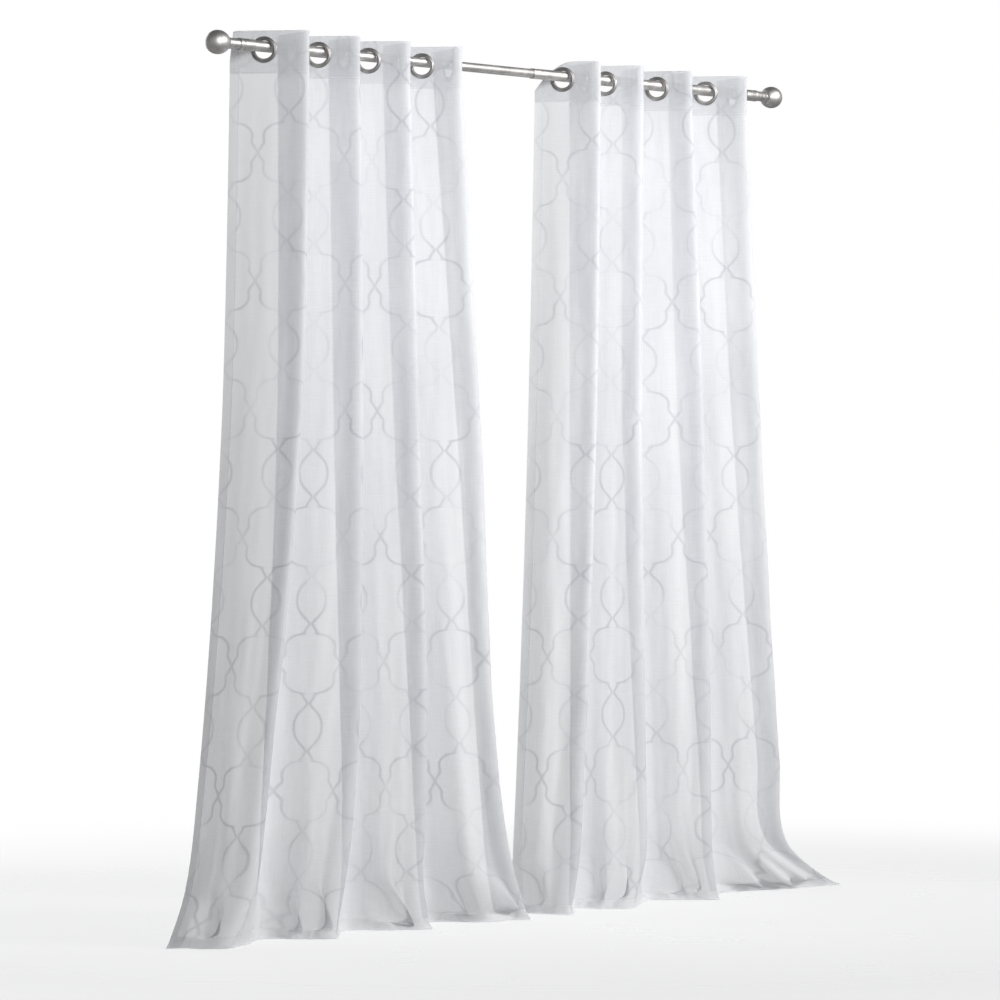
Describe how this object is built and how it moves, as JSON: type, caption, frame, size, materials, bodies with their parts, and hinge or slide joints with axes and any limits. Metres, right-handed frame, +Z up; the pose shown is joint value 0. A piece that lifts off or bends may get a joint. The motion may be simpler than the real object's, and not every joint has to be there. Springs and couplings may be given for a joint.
{
  "type": "pair of sheer eyelet curtain panels on a curtain rod",
  "caption": "Two white sheer voile curtain panels with a trellis pattern and metal eyelets, hanging in soft folds from a telescoping rod with ball finials.",
  "frame": {"origin": "on the curtain rod's axis, midway between its two finials; the floor is 2.065 m below", "axes": "+X along the rod to the right as seen from the room, +Y towards the wall behind, +Z up"},
  "size_m": [2.4018, 0.2004, 2.102],
  "materials": {
    "voile": "sheer white voile, plain weave, with a pale grey woven trellis",
    "nickel": "brushed nickel",
    "pewter": "satin pewter plating"
  },
  "bodies": {
    "root": {"panel_left": "voile", "panel_right": "voile", "rod_tube": "nickel", "rod_sleeve_left": "nickel", "rod_sleeve_right": "nickel", "finial_left": "nickel", "finial_right": "nickel", "eyelet_left_1": "pewter", "eyelet_left_2": "pewter", "eyelet_left_3": "pewter", "eyelet_left_4": "pewter", "eyelet_left_5": "pewter", "eyelet_left_6": "pewter", "eyelet_left_7": "pewter", "eyelet_left_8": "pewter", "eyelet_right_1": "pewter", "eyelet_right_2": "pewter", "eyelet_right_3": "pewter", "eyelet_right_4": "pewter", "eyelet_right_5": "pewter", "eyelet_right_6": "pewter", "eyelet_right_7": "pewter", "eyelet_right_8": "pewter"}
  },
  "joints": []
}
